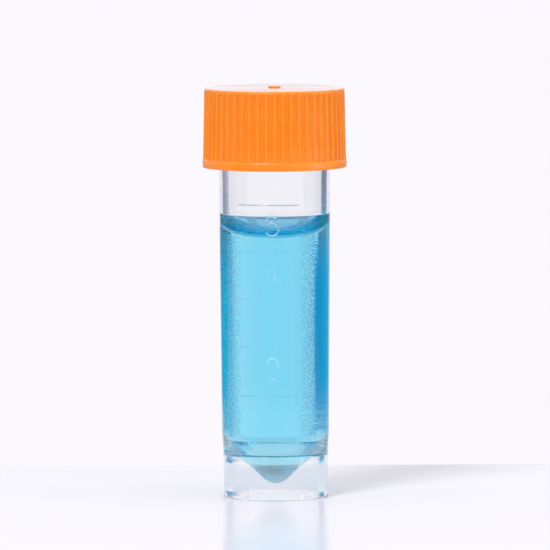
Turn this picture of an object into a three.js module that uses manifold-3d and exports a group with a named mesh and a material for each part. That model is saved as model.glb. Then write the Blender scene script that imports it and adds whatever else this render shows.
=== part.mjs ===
/**
 * A self-standing screw-cap cryovial with a skirted conical base, a ribbed screw cap, the
 * washer that seals it and the liquid it holds. Millimetres, +Z up. The origin is the centre
 * of the ring that the tube stands on, and the graduated side faces -Y.
 */
import * as THREE from "three";
import { mergeVertices } from "three/addons/utils/BufferGeometryUtils.js";
import Module from "manifold-3d";

const wasm = await Module();
wasm.setup();

// ---- driving dimensions (mm, degrees) ----

// tube
const tubeHeight = 56.8;
const neckRadius = 8.1;
const footRadius = 7.74;
const rimBoreRadius = 7.0;
const footBoreRadius = 6.65;
const rimEdge = 0.25;
const shoulderHeight = 46.0;
const shoulderRadius = 8.06;

// skirt that the tube stands on, and the cone inside it
const skirtHeight = 9.2;
const skirtStep = 0.17;
const skirtTaper = 2.4;
const skirtWall = 1.13;
const skirtEdge = 0.2;
const coneTipHeight = 1.9;
const coneTipRadius = 2.6;
const coneAngle = 44.4;
const coneWall = 1.0;
const coneFillet = 0.5;
const boreFillet = 1.6;

// thread, one right-hand start
const threadLead = 4.0;
const threadHeight = 0.6;
const threadRootWidth = 2.0;
const threadCrestWidth = 0.9;
const threadGap = 0.15;
const crestClearance = 0.25;
const threadRootDepth = 0.35;
const threadFade = 30;
const fadedHeight = 0.2;
const tubeThreadTurns = 1.5;
const tubeThreadDrop = 1.6;
const capThreadTurns = 1.25;
const capThreadInset = 1.55;

// cap
const capHeight = 11.45;
const capWall = 1.02;
const capTopWall = 1.4;
const capTaper = 0.19;
const capEdge = 0.3;
const topBandDraft = 0.05;
const mouthChamfer = 0.3;
const ribCount = 52;
const ribDepth = 0.36;
const ribShare = 0.26;
const flankShare = 0.13;
const ribRunout = 0.25;
const ribFootRunout = 0.1;
const plainTopBand = 0.35;
const bandHeight = 1.25;
const bandStep = 0.09;
const bandChamfer = 0.15;
const gateRadius = 0.89;
const gateHeight = 0.3;

// seal washer, centred on a short spigot under the cap's top
const washerThickness = 1.0;
const washerOverlap = 0.2;
const washerSeat = 1.1;
const spigotClearance = 0.15;
const spigotWall = 0.85;
const spigotHeight = 1.2;

// liquid
const meniscusHeight = 41.1;
const meniscusRise = 3.5;
const capillaryLength = 1.4;
const liquidClearance = 0.05;

// raised graduation lines, one millilitre apart
const lineCount = 5;
const firstLineHeight = 15.1;
const lineVolume = 1000;
const lineWidth = 0.32;
const lineRelief = 0.1;
const lineRootDepth = 0.3;
const lineStartAngle = -40;
const lineSweep = 65;

// fineness of the round shapes
const roundSegments = 72;
const gateSegments = 24;
const arcSteps = 3;
const meniscusSteps = 12;
const weldTolerance = 1e-4;

// ---- sizes worked out from them ----

const capTop = tubeHeight + washerThickness + capTopWall;
const capBottom = capTop - capHeight;
const ceilingHeight = capTop - capTopWall;
const tubeCrestRadius = neckRadius + threadHeight;
const capBoreRadius = tubeCrestRadius + crestClearance;
const capCrestRadius = neckRadius + threadGap;
const grooveRadius = capBoreRadius + capWall;
const ribRadius = grooveRadius + ribDepth;
const skirtRadius = footRadius - skirtStep;
const skirtBoreRadius = skirtRadius - skirtWall;
const washerBoreRadius = rimBoreRadius - washerSeat;
const washerRadius = capCrestRadius + washerOverlap;

// the thread's flanks, and how far the cap's ridge lies below the tube's
const flankSlope = (threadRootWidth - threadCrestWidth) / 2 / threadHeight;
const flankDrop = threadCrestWidth + flankSlope * (tubeCrestRadius - capCrestRadius);
const threadDrop = flankDrop + threadGap * Math.hypot(1, flankSlope);
const tubeThreadStart = tubeHeight - tubeThreadDrop - threadLead * tubeThreadTurns;

// the cone's slope, and a thickness across it measured straight up
const coneSlope = Math.tan(THREE.MathUtils.degToRad(coneAngle));
const upCone = (thickness) => thickness * Math.hypot(1, coneSlope);

// ---- helpers ----

/** The point at a radius and height, its angle in radians anticlockwise from the front. */
function polar(radius, angle, height) {
  return new THREE.Vector3(radius * Math.sin(angle), -radius * Math.cos(angle), height);
}

/** Shares the corners of a mesh and drops the triangles that close up on its axis. */
function weld(geometry) {
  geometry.deleteAttribute("normal");
  geometry.deleteAttribute("uv");
  const welded = mergeVertices(geometry, weldTolerance);
  const corners = welded.index.array;
  const kept = [];
  for (let i = 0; i < corners.length; i += 3) {
    const [a, b, c] = corners.slice(i, i + 3);
    if (a !== b && b !== c && c !== a) {
      kept.push(a, b, c);
    }
  }
  welded.setIndex(kept);
  return welded;
}

function solidOf(geometry) {
  const vertProperties = new Float32Array(geometry.attributes.position.array);
  const triVerts = new Uint32Array(geometry.index.array);
  return new wasm.Manifold(new wasm.Mesh({ numProp: 3, vertProperties, triVerts }));
}

function geometryOf(solid) {
  const mesh = solid.getMesh();
  const geometry = new THREE.BufferGeometry();
  geometry.setAttribute("position", new THREE.BufferAttribute(mesh.vertProperties, 3));
  geometry.setIndex(new THREE.BufferAttribute(mesh.triVerts, 1));
  geometry.computeVertexNormals();
  return geometry;
}

/** Revolves an outline of (radius, height) points about the Z axis. */
function revolve(outline, segments = roundSegments) {
  const geometry = new THREE.LatheGeometry(outline, segments);
  geometry.rotateX(Math.PI / 2);
  return weld(geometry);
}

/** Joins rings of the same number of points into a closed solid with flat ends. */
function loft(rings) {
  const count = rings[0].length;
  const faces = [];
  for (let ring = 0; ring < rings.length - 1; ring += 1) {
    for (let point = 0; point < count; point += 1) {
      const next = (point + 1) % count;
      const a = ring * count + point;
      const b = ring * count + next;
      faces.push(a, b + count, b, a, a + count, b + count);
    }
  }
  const last = (rings.length - 1) * count;
  for (let point = 1; point < count - 1; point += 1) {
    faces.push(0, point, point + 1);
    faces.push(last, last + point + 1, last + point);
  }
  const geometry = new THREE.BufferGeometry().setFromPoints(rings.flat());
  geometry.setIndex(faces);
  return geometry;
}

/** The faces between neighbouring rows of points. */
function sheet(rows) {
  const count = rows[0].length;
  const faces = [];
  for (let row = 0; row < rows.length - 1; row += 1) {
    for (let point = 0; point < count - 1; point += 1) {
      const a = row * count + point;
      const b = a + count;
      faces.push(a, b, b + 1, a, b + 1, a + 1);
    }
  }
  const geometry = new THREE.BufferGeometry().setFromPoints(rows.flat());
  geometry.setIndex(faces);
  return geometry;
}

/** Points of an arc that rounds the corner between two lines, tangent to both. */
function roundedCorner(before, corner, after, radius, steps = arcSteps) {
  const toBefore = before.clone().sub(corner).normalize();
  const toAfter = after.clone().sub(corner).normalize();
  const half = Math.acos(toBefore.dot(toAfter)) / 2;
  const reach = radius / Math.tan(half);
  const bisector = toBefore.clone().add(toAfter).normalize();
  const centre = corner.clone().addScaledVector(bisector, radius / Math.sin(half));
  const start = corner.clone().addScaledVector(toBefore, reach).sub(centre);
  const end = corner.clone().addScaledVector(toAfter, reach).sub(centre);
  const sweep = Math.atan2(start.cross(end), start.dot(end));
  const points = [];
  for (let step = 0; step <= steps; step += 1) {
    const turned = start.clone().rotateAround(new THREE.Vector2(), (sweep * step) / steps);
    points.push(centre.clone().add(turned));
  }
  return points;
}

const at = (radius, height) => new THREE.Vector2(radius, height);

// ---- tube ----

/** Radius of the bore above the cone, which widens towards the rim. */
function boreRadiusAt(height) {
  const share = (height - skirtHeight) / (tubeHeight - skirtHeight);
  return THREE.MathUtils.lerp(footBoreRadius, rimBoreRadius, share);
}

/** Radius of the tube's outside, in two tapers and a straight neck. */
function wallRadiusAt(height) {
  if (height >= shoulderHeight) {
    const share = (height - shoulderHeight) / (capBottom - shoulderHeight);
    return THREE.MathUtils.lerp(shoulderRadius, neckRadius, Math.min(1, share));
  }
  const share = (height - skirtHeight) / (shoulderHeight - skirtHeight);
  return THREE.MathUtils.lerp(footRadius, shoulderRadius, share);
}

/** Height of the cone's straight side at a radius, its rounded tip being at the given height. */
function coneHeightAt(radius, tipHeight) {
  return tipHeight - (upCone(coneTipRadius) - coneTipRadius) + radius * coneSlope;
}

/** The cone from its rounded tip on the axis to the wall at the given radius. */
function coneOutline(tipHeight, wallRadius, wallTop, fillet) {
  const apex = at(0, coneHeightAt(0, tipHeight));
  const corner = at(wallRadius, coneHeightAt(wallRadius, tipHeight));
  const mirrored = at(-corner.x, corner.y);
  const tip = roundedCorner(mirrored, apex, corner, coneTipRadius, 2 * arcSteps).slice(arcSteps);
  tip[0].x = 0;
  return [...tip, ...roundedCorner(apex, corner, at(wallRadius, wallTop), fillet)];
}

/** The bore from the tip of the cone to the rim, held back from the wall by a clearance. */
function boreOutline(top, clearance = 0) {
  const tipHeight = coneTipHeight + upCone(coneWall + clearance);
  const cone = coneOutline(tipHeight, footBoreRadius - clearance, top, boreFillet);
  return [...cone, at(boreRadiusAt(top) - clearance, top)];
}

function tubeOutline() {
  const underside = coneOutline(coneTipHeight, skirtBoreRadius, 0, coneFillet);
  return [
    ...underside,
    at(skirtBoreRadius, skirtEdge),
    at(skirtBoreRadius + skirtEdge, 0),
    at(skirtRadius - skirtEdge, 0),
    at(skirtRadius, skirtEdge),
    at(skirtRadius, skirtHeight - skirtTaper),
    at(footRadius, skirtHeight),
    at(shoulderRadius, shoulderHeight),
    at(neckRadius, capBottom),
    at(neckRadius, tubeHeight - rimEdge),
    at(neckRadius - rimEdge, tubeHeight),
    ...boreOutline(tubeHeight).reverse(),
  ];
}

/**
 * A ridge of trapezoid section swept round the axis from a start angle, in degrees. Its root is
 * sunk into the wall and its crest stands out or in from it. With a rise per turn it climbs as
 * a right-hand helix, and with a fade its height grows and dies away over that angle.
 */
function sweptRidge({ start, sweep, height, rise = 0, root, crest, crestWidth, flank = 0, fade = 0 }) {
  const steps = Math.round((sweep / 360) * roundSegments);
  const faded = THREE.MathUtils.lerp(root, crest, fadedHeight);
  const rootWidth = crestWidth + 2 * flank * Math.abs(crest - root);
  const rings = [];
  for (let step = 0; step <= steps; step += 1) {
    const turned = (sweep * step) / steps;
    const angle = THREE.MathUtils.degToRad(start + turned);
    const level = height + (rise * turned) / 360;
    const share = fade > 0 ? Math.min(1, turned / fade, (sweep - turned) / fade) : 1;
    const tip = THREE.MathUtils.lerp(faded, crest, share);
    rings.push([
      polar(root, angle, level - rootWidth / 2),
      polar(tip, angle, level - crestWidth / 2),
      polar(tip, angle, level + crestWidth / 2),
      polar(root, angle, level + rootWidth / 2),
    ]);
  }
  return loft(crest > root ? rings : rings.map((ring) => ring.reverse()));
}

function tubeThread() {
  return sweptRidge({
    start: 0,
    sweep: 360 * tubeThreadTurns,
    height: tubeThreadStart,
    rise: threadLead,
    root: neckRadius - threadRootDepth,
    crest: tubeCrestRadius,
    crestWidth: threadCrestWidth,
    flank: flankSlope,
    fade: threadFade,
  });
}

/** Heights of the lines: each next one has a millilitre more of the bore below it. */
function graduationHeights() {
  const heights = [firstLineHeight];
  while (heights.length < lineCount) {
    const below = heights.at(-1);
    let rise = lineVolume / (Math.PI * boreRadiusAt(below) ** 2);
    const middle = boreRadiusAt(below + rise / 2);
    rise = lineVolume / (Math.PI * middle ** 2);
    heights.push(below + rise);
  }
  return heights;
}

function graduationLine(height) {
  const wall = wallRadiusAt(height);
  return sweptRidge({
    start: lineStartAngle,
    sweep: lineSweep,
    height,
    root: wall - lineRootDepth,
    crest: wall + lineRelief,
    crestWidth: lineWidth,
  });
}

function tube() {
  let solid = solidOf(revolve(tubeOutline()));
  solid = solid.add(solidOf(tubeThread()));
  for (const height of graduationHeights()) {
    solid = solid.add(solidOf(graduationLine(height)));
  }
  return geometryOf(solid);
}

// ---- liquid ----

/** Rise of the liquid's surface above its lowest point, which grows towards the wall. */
function meniscusAt(share, wallRadius) {
  const curve = (radius) => Math.cosh(radius / capillaryLength) - 1;
  return (meniscusRise * curve(share * wallRadius)) / curve(wallRadius);
}

function sampleLiquid() {
  const outline = boreOutline(meniscusHeight, liquidClearance);
  const wallRadius = outline.at(-1).x;
  const lowest = meniscusHeight - meniscusRise;
  for (let step = meniscusSteps - 1; step >= 0; step -= 1) {
    const share = step / meniscusSteps;
    outline.push(at(share * wallRadius, lowest + meniscusAt(share, wallRadius)));
  }
  return revolve(outline);
}

// ---- seal washer ----

function sealWasher() {
  const bottom = tubeHeight;
  const top = tubeHeight + washerThickness;
  return revolve([
    at(washerBoreRadius, bottom),
    at(washerRadius, bottom),
    at(washerRadius, top),
    at(washerBoreRadius, top),
    at(washerBoreRadius, bottom),
  ]);
}

// ---- cap ----

/** The outline down a rib's crest (depth 0) or down the groove beside it (depth 1). */
function capOutline(depth) {
  const topRadius = ribRadius - capTaper;
  const ribTop = capTop - plainTopBand;
  const ribBottom = capBottom + bandHeight;
  const bandRadius = ribRadius + bandStep;
  const edgeRadius = topRadius - topBandDraft;
  const sunk = ribDepth * depth;
  return [
    at(0, capBottom),
    at(bandRadius - bandChamfer, capBottom),
    at(bandRadius, capBottom + bandChamfer),
    at(bandRadius, ribBottom - bandStep),
    at(ribRadius, ribBottom),
    at(ribRadius - sunk, ribBottom + ribFootRunout * depth),
    at(topRadius - sunk, ribTop - ribRunout * depth),
    at(topRadius, ribTop),
    at(edgeRadius, capTop - capEdge),
    at(edgeRadius - capEdge, capTop),
    at(0, capTop),
  ];
}

/** The outside of the cap: crest and groove outlines taken in turn round the axis. */
function ribbedBody() {
  const crest = capOutline(0);
  const groove = capOutline(1);
  const pitch = (2 * Math.PI) / ribCount;
  const meridians = [];
  for (let rib = 0; rib < ribCount; rib += 1) {
    const turns = [
      [-ribShare / 2, crest],
      [ribShare / 2, crest],
      [ribShare / 2 + flankShare, groove],
      [1 - ribShare / 2 - flankShare, groove],
    ];
    for (const [share, outline] of turns) {
      const angle = (rib + share) * pitch;
      meridians.push(outline.map((point) => polar(point.x, angle, point.y)));
    }
  }
  meridians.push(meridians[0]);
  return weld(sheet(meridians));
}

/** The space inside the cap, with the spigot ring left standing from its ceiling. */
function capCavity() {
  const below = capBottom - mouthChamfer;
  const spigotRadius = washerBoreRadius - spigotClearance;
  const spigotFoot = ceilingHeight - spigotHeight;
  return revolve([
    at(0, below),
    at(capBoreRadius + 2 * mouthChamfer, below),
    at(capBoreRadius, capBottom + mouthChamfer),
    at(capBoreRadius, ceilingHeight),
    at(spigotRadius, ceilingHeight),
    at(spigotRadius, spigotFoot),
    at(spigotRadius - spigotWall, spigotFoot),
    at(spigotRadius - spigotWall, ceilingHeight),
    at(0, ceilingHeight),
  ]);
}

/** The cap's ridge follows the tube's helix from below, its upper flank just off the other. */
function capThread() {
  const start = capBottom + capThreadInset;
  return sweptRidge({
    start: (360 * (start - tubeThreadStart + threadDrop)) / threadLead,
    sweep: 360 * capThreadTurns,
    height: start,
    rise: threadLead,
    root: capBoreRadius + threadRootDepth,
    crest: capCrestRadius,
    crestWidth: threadCrestWidth,
    flank: flankSlope,
    fade: threadFade,
  });
}

function gateMark() {
  const root = capTop - capTopWall / 2;
  return revolve([
    at(0, root),
    at(gateRadius, root),
    at(gateRadius, capTop + gateHeight),
    at(0, capTop + gateHeight),
  ], gateSegments);
}

function cap() {
  let solid = solidOf(ribbedBody()).subtract(solidOf(capCavity()));
  solid = solid.add(solidOf(capThread()));
  solid = solid.add(solidOf(gateMark()));
  return geometryOf(solid);
}

// ---- assembly ----

function piece(name, geometry, color, roughness, options = {}) {
  const material = new THREE.MeshStandardMaterial({ color, roughness, metalness: 0, ...options });
  const mesh = new THREE.Mesh(geometry, material);
  mesh.name = name;
  return mesh;
}

const cryovial = new THREE.Group();
cryovial.name = "cryovial";
cryovial.add(
  piece("tube", tube(), 0xe8eef2, 0.25, { transparent: true, opacity: 0.35 }),
  piece("sample_liquid", sampleLiquid(), 0x35a8dc, 0.1, { transparent: true, opacity: 0.6 }),
  piece("seal_washer", sealWasher(), 0xe6e6e0, 0.6),
  piece("cap", cap(), 0xf4832f, 0.35),
);

export default cryovial;
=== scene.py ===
"""
The looks of a screw-cap cryovial: a clear tube with raised graduations and frosted sides, the
blue liquid in it, a ribbed orange cap and its seal washer, on a pale glossy table.
"""
import math

import bmesh
import bpy
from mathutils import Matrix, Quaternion, Vector


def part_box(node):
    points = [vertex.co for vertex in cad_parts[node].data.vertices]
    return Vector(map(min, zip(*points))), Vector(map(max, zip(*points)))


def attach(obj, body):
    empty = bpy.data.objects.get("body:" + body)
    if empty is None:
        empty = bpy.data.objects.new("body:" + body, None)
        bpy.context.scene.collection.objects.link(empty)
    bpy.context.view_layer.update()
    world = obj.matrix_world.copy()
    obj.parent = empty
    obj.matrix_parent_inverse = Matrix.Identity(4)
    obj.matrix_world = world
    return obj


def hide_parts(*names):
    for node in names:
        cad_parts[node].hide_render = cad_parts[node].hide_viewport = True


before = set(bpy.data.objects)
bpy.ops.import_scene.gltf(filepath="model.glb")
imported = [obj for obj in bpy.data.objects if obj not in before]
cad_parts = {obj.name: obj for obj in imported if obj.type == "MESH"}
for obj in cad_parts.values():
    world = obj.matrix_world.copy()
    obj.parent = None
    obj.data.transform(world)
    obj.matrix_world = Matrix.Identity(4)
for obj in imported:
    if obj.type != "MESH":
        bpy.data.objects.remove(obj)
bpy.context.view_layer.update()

MM = 0.001

# ---- sizes from the frame ----

tube_low, tube_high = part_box("tube")
cap_low, cap_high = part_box("cap")
washer_low, washer_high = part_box("seal_washer")
liquid_low, liquid_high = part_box("sample_liquid")

TUBE_HEIGHT = tube_high.z
TUBE_CREST_RADIUS = tube_high.x
CAP_BOTTOM = cap_low.z
CAP_BAND_RADIUS = cap_high.x
LIQUID_TOP = liquid_high.z

# ---- driving sizes ----

# tube
THREAD_HEIGHT = 0.6 * MM
NECK_RADIUS = TUBE_CREST_RADIUS - THREAD_HEIGHT
RIM_BORE_RADIUS = 7.0 * MM
FOOT_BORE_RADIUS = 6.65 * MM
FOOT_RADIUS = 7.74 * MM
SHOULDER_RADIUS = 8.06 * MM
SHOULDER_HEIGHT = 46.0 * MM
RIM_ROUNDING = 0.25 * MM
BORE_ROUNDING = 0.12 * MM

# skirt and cone
SKIRT_HEIGHT = 9.2 * MM
SKIRT_STEP = 0.17 * MM
SKIRT_TAPER = 2.4 * MM
TAPER_ROUNDING = 28 * MM
SKIRT_WALL = 1.13 * MM
SKIRT_ROUNDING = 0.2 * MM
CONE_TIP_HEIGHT = 1.9 * MM
CONE_TIP_RADIUS = 2.6 * MM
CONE_ANGLE = math.radians(44.4)
CONE_WALL = 1.0 * MM
CONE_FILLET = 0.5 * MM
BORE_FILLET = 1.6 * MM

# thread
THREAD_LEAD = 4.0 * MM
THREAD_ROOT_WIDTH = 2.0 * MM
THREAD_CREST_WIDTH = 0.9 * MM
THREAD_GAP = 0.15 * MM
CREST_CLEARANCE = 0.25 * MM
THREAD_ROOT_DEPTH = 0.35 * MM
THREAD_ROUNDING = 0.15 * MM
THREAD_FADE = math.radians(30)
FADED_HEIGHT = 0.2
TUBE_THREAD_TURNS = 1.5
TUBE_THREAD_DROP = 1.6 * MM
CAP_THREAD_TURNS = 1.25
CAP_THREAD_INSET = 1.55 * MM

# cap
CAP_TOP_WALL = 1.4 * MM
CAP_TAPER = 0.19 * MM
CAP_EDGE = 0.3 * MM
TOP_BAND_DRAFT = 0.05 * MM
MOUTH_CHAMFER = 0.3 * MM
RIB_COUNT = 52
RIB_DEPTH = 0.36 * MM
PLAIN_TOP_BAND = 0.35 * MM
BAND_HEIGHT = 1.25 * MM
BAND_STEP = 0.09 * MM
BAND_ROUNDING = 0.15 * MM
GATE_RADIUS = 0.89 * MM
GATE_HEIGHT = 0.3 * MM
GATE_ROUNDING = 0.09 * MM

# washer and the spigot that centres it
WASHER_SEAT = 1.1 * MM
WASHER_ROUNDING = 0.12 * MM
SPIGOT_CLEARANCE = 0.15 * MM
SPIGOT_WALL = 0.85 * MM
SPIGOT_HEIGHT = 1.2 * MM

# liquid
MENISCUS_RISE = 3.5 * MM
CAPILLARY_LENGTH = 1.4 * MM
WALL_OVERLAP = 0.03 * MM

# refraction
PLASTIC_IOR = 1.49
WATER_IOR = 1.333

# raised graduations
LINE_COUNT = 5
FIRST_LINE_HEIGHT = 15.1 * MM
LINE_VOLUME = 1000 * MM ** 3
LINE_START = math.radians(-40)
LINE_SWEEP = math.radians(65)
NUMERAL_HEIGHT = 2.8 * MM
NUMERAL_DROP = 2.95 * MM
NUMERAL_ANGLE = math.radians(-3)
STROKE_RADIUS = 0.18 * MM
STROKE_SINK = 0.1 * MM
PROUD = 0.02 * MM

# fineness of the round shapes
TUBE_STEPS = 192
STEPS_PER_RIB = 12
THREAD_STEPS_PER_TURN = 144
ARC_STEPS = 5
MENISCUS_STEPS = 32
LINE_STEP = math.radians(2.5)
NUMERAL_ARC_STEPS = 14
GROOVE_PARTS = 4
RING_SPACING = 1.0 * MM
WELD = 0.001 * MM

# edges blunter than these, in degrees, are shaded smooth
ROUND_EDGE = 35
RIBBED_EDGE = 50

# ---- sizes worked out from them ----

CAP_TOP = cap_high.z - GATE_HEIGHT
CEILING_HEIGHT = CAP_TOP - CAP_TOP_WALL
CAP_BORE_RADIUS = TUBE_CREST_RADIUS + CREST_CLEARANCE
CAP_CREST_RADIUS = NECK_RADIUS + THREAD_GAP
RIB_RADIUS = CAP_BAND_RADIUS - BAND_STEP
RIB_TOP = CAP_TOP - PLAIN_TOP_BAND
RIB_BOTTOM = CAP_BOTTOM + BAND_HEIGHT
SKIRT_RADIUS = FOOT_RADIUS - SKIRT_STEP
SKIRT_BORE_RADIUS = SKIRT_RADIUS - SKIRT_WALL
WASHER_BORE_RADIUS = RIM_BORE_RADIUS - WASHER_SEAT
CONE_SLOPE = math.tan(CONE_ANGLE)
FLANK_SLOPE = (THREAD_ROOT_WIDTH - THREAD_CREST_WIDTH) / 2 / THREAD_HEIGHT
FLANK_DROP = THREAD_CREST_WIDTH + FLANK_SLOPE * (TUBE_CREST_RADIUS - CAP_CREST_RADIUS)
THREAD_DROP = FLANK_DROP + THREAD_GAP * math.hypot(1, FLANK_SLOPE)
TUBE_THREAD_START = TUBE_HEIGHT - TUBE_THREAD_DROP - THREAD_LEAD * TUBE_THREAD_TURNS
CAP_THREAD_START = CAP_BOTTOM + CAP_THREAD_INSET
CAP_THREAD_ANGLE = math.tau * (CAP_THREAD_START - TUBE_THREAD_START + THREAD_DROP) / THREAD_LEAD


# ---- outlines, as (radius, height) points ----

def lerp(start, end, share):
    return start + (end - start) * share


def rounded(before, corner, after, radius):
    """The arc that rounds a corner of an outline, tangent to both of its sides."""
    to_before = (before - corner).normalized()
    to_after = (after - corner).normalized()
    half = to_before.angle(to_after) / 2
    centre = corner + (to_before + to_after).normalized() * radius / math.sin(half)
    start = corner + to_before * radius / math.tan(half) - centre
    end = corner + to_after * radius / math.tan(half) - centre
    sweep = math.pi - 2 * half
    points = []
    for step in range(ARC_STEPS + 1):
        share = step / ARC_STEPS
        weight_start = math.sin((1 - share) * sweep) / math.sin(sweep)
        weight_end = math.sin(share * sweep) / math.sin(sweep)
        points.append(centre + start * weight_start + end * weight_end)
    return points


def outline_of(corners, closed=False):
    """An outline from (radius, height) or (radius, height, rounding) corners."""
    places = [Vector(corner[:2]) for corner in corners]
    points = []
    for index, corner in enumerate(corners):
        rounding = corner[2] if len(corner) > 2 else 0
        if rounding == 0:
            points.append(places[index])
            continue
        before = places[index - 1]
        after = places[(index + 1) % len(places)]
        points.extend(rounded(before, places[index], after, rounding))
    if closed:
        points.append(points[0])
    return points


def divided(outline, spacing):
    """The same outline with its long straight sides divided evenly."""
    points = [outline[0]]
    for start, end in zip(outline, outline[1:]):
        parts = max(1, math.ceil((end - start).length / spacing))
        points.extend(start.lerp(end, part / parts) for part in range(1, parts + 1))
    return points


def up_cone(thickness):
    """A thickness across the cone, measured straight up."""
    return thickness / math.cos(CONE_ANGLE)


def cone_height(radius, tip_height):
    return tip_height + CONE_TIP_RADIUS - up_cone(CONE_TIP_RADIUS) + radius * CONE_SLOPE


def cone_corners(tip_height, wall_radius, fillet):
    """The cone from its rounded tip on the axis to the corner where it meets the wall."""
    corners = []
    for step in range(2 * ARC_STEPS + 1):
        angle = CONE_ANGLE * step / (2 * ARC_STEPS)
        height = tip_height + CONE_TIP_RADIUS * (1 - math.cos(angle))
        corners.append((CONE_TIP_RADIUS * math.sin(angle), height))
    corners.append((wall_radius, cone_height(wall_radius, tip_height), fillet))
    return corners


def bore_radius(height):
    share = (height - SKIRT_HEIGHT) / (TUBE_HEIGHT - SKIRT_HEIGHT)
    return lerp(FOOT_BORE_RADIUS, RIM_BORE_RADIUS, share)


def wall_radius(height):
    share = (height - SKIRT_HEIGHT) / (SHOULDER_HEIGHT - SKIRT_HEIGHT)
    return lerp(FOOT_RADIUS, SHOULDER_RADIUS, share)


def tube_outline():
    bore_tip = CONE_TIP_HEIGHT + up_cone(CONE_WALL)
    corners = cone_corners(CONE_TIP_HEIGHT, SKIRT_BORE_RADIUS, CONE_FILLET)
    corners += [
        (SKIRT_BORE_RADIUS, 0, SKIRT_ROUNDING),
        (SKIRT_RADIUS, 0, SKIRT_ROUNDING),
        (SKIRT_RADIUS, SKIRT_HEIGHT - SKIRT_TAPER, TAPER_ROUNDING),
        (FOOT_RADIUS, SKIRT_HEIGHT, TAPER_ROUNDING),
        (SHOULDER_RADIUS, SHOULDER_HEIGHT),
        (NECK_RADIUS, CAP_BOTTOM),
        (NECK_RADIUS, TUBE_HEIGHT, RIM_ROUNDING),
        (RIM_BORE_RADIUS, TUBE_HEIGHT, BORE_ROUNDING),
        (bore_radius(LIQUID_TOP), LIQUID_TOP),
    ]
    corners += reversed(cone_corners(bore_tip, FOOT_BORE_RADIUS, BORE_FILLET))
    return divided(outline_of(corners), RING_SPACING)


def liquid_outline():
    tip = CONE_TIP_HEIGHT + up_cone(CONE_WALL - WALL_OVERLAP)
    rim = bore_radius(LIQUID_TOP) + WALL_OVERLAP
    corners = cone_corners(tip, FOOT_BORE_RADIUS + WALL_OVERLAP, BORE_FILLET)
    corners.append((rim, LIQUID_TOP))
    points = outline_of(corners)
    full_rise = math.cosh(rim / CAPILLARY_LENGTH) - 1
    for step in reversed(range(MENISCUS_STEPS)):
        radius = rim * step / MENISCUS_STEPS
        rise = MENISCUS_RISE * (math.cosh(radius / CAPILLARY_LENGTH) - 1) / full_rise
        points.append(Vector((radius, LIQUID_TOP - MENISCUS_RISE + rise)))
    return points


def washer_outline():
    return outline_of([
        (WASHER_BORE_RADIUS, washer_low.z, WASHER_ROUNDING),
        (washer_high.x, washer_low.z, WASHER_ROUNDING),
        (washer_high.x, washer_high.z, WASHER_ROUNDING),
        (WASHER_BORE_RADIUS, washer_high.z, WASHER_ROUNDING),
    ], closed=True)


# how deep a groove is cut at heights above its foot and below its head, as shares
GROOVE_FOOT = ((0.05 * MM, 0.55), (0.11 * MM, 0.88), (0.2 * MM, 1.0))
GROOVE_HEAD = ((0.12 * MM, 0.3), (0.25 * MM, 0.62), (0.42 * MM, 0.9), (0.62 * MM, 1.0))


def groove_rings():
    """The rings where the grooves are cut, from their head down, as (height, share of depth)."""
    head = [(RIB_TOP - below, share) for below, share in GROOVE_HEAD]
    foot = [(RIB_BOTTOM + above, share) for above, share in reversed(GROOVE_FOOT)]
    parts = range(1, GROOVE_PARTS)
    middle = [(lerp(head[-1][0], foot[0][0], part / GROOVE_PARTS), 1.0) for part in parts]
    return head + middle + foot


def crest_radius(height):
    share = (height - RIB_BOTTOM) / (RIB_TOP - RIB_BOTTOM)
    return RIB_RADIUS - CAP_TAPER * share


def cap_outline():
    top_radius = RIB_RADIUS - CAP_TAPER
    spigot_radius = WASHER_BORE_RADIUS - SPIGOT_CLEARANCE
    spigot_foot = CEILING_HEIGHT - SPIGOT_HEIGHT
    corners = [
        (0, cap_high.z),
        (GATE_RADIUS, cap_high.z, GATE_ROUNDING),
        (GATE_RADIUS, CAP_TOP, GATE_ROUNDING),
        (top_radius - TOP_BAND_DRAFT, CAP_TOP, CAP_EDGE),
        (top_radius, RIB_TOP),
    ]
    corners += [(crest_radius(height), height) for height, share in groove_rings()]
    corners += [
        (RIB_RADIUS, RIB_BOTTOM),
        (CAP_BAND_RADIUS, RIB_BOTTOM - BAND_STEP),
        (CAP_BAND_RADIUS, CAP_BOTTOM, BAND_ROUNDING),
        (CAP_BORE_RADIUS + MOUTH_CHAMFER, CAP_BOTTOM, MOUTH_CHAMFER / 4),
        (CAP_BORE_RADIUS, CAP_BOTTOM + MOUTH_CHAMFER),
        (CAP_BORE_RADIUS, CEILING_HEIGHT, MOUTH_CHAMFER / 2),
        (spigot_radius, CEILING_HEIGHT),
        (spigot_radius, spigot_foot, WASHER_ROUNDING),
        (spigot_radius - SPIGOT_WALL, spigot_foot, WASHER_ROUNDING),
        (spigot_radius - SPIGOT_WALL, CEILING_HEIGHT),
        (0, CEILING_HEIGHT),
    ]
    return outline_of(corners)


# ---- modelling ----

def pick(piece):
    """Selects one piece alone and makes it the active one."""
    bpy.ops.object.select_all(action="DESELECT")
    piece.select_set(True)
    bpy.context.view_layer.objects.active = piece


def edit(piece):
    """Goes into edit mode on one piece, with nothing in it selected."""
    pick(piece)
    bpy.ops.object.mode_set(mode="EDIT")
    bpy.ops.mesh.select_mode(type="VERT")
    bpy.ops.mesh.select_all(action="DESELECT")


def leave_edit():
    bpy.ops.object.mode_set(mode="OBJECT")


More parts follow.
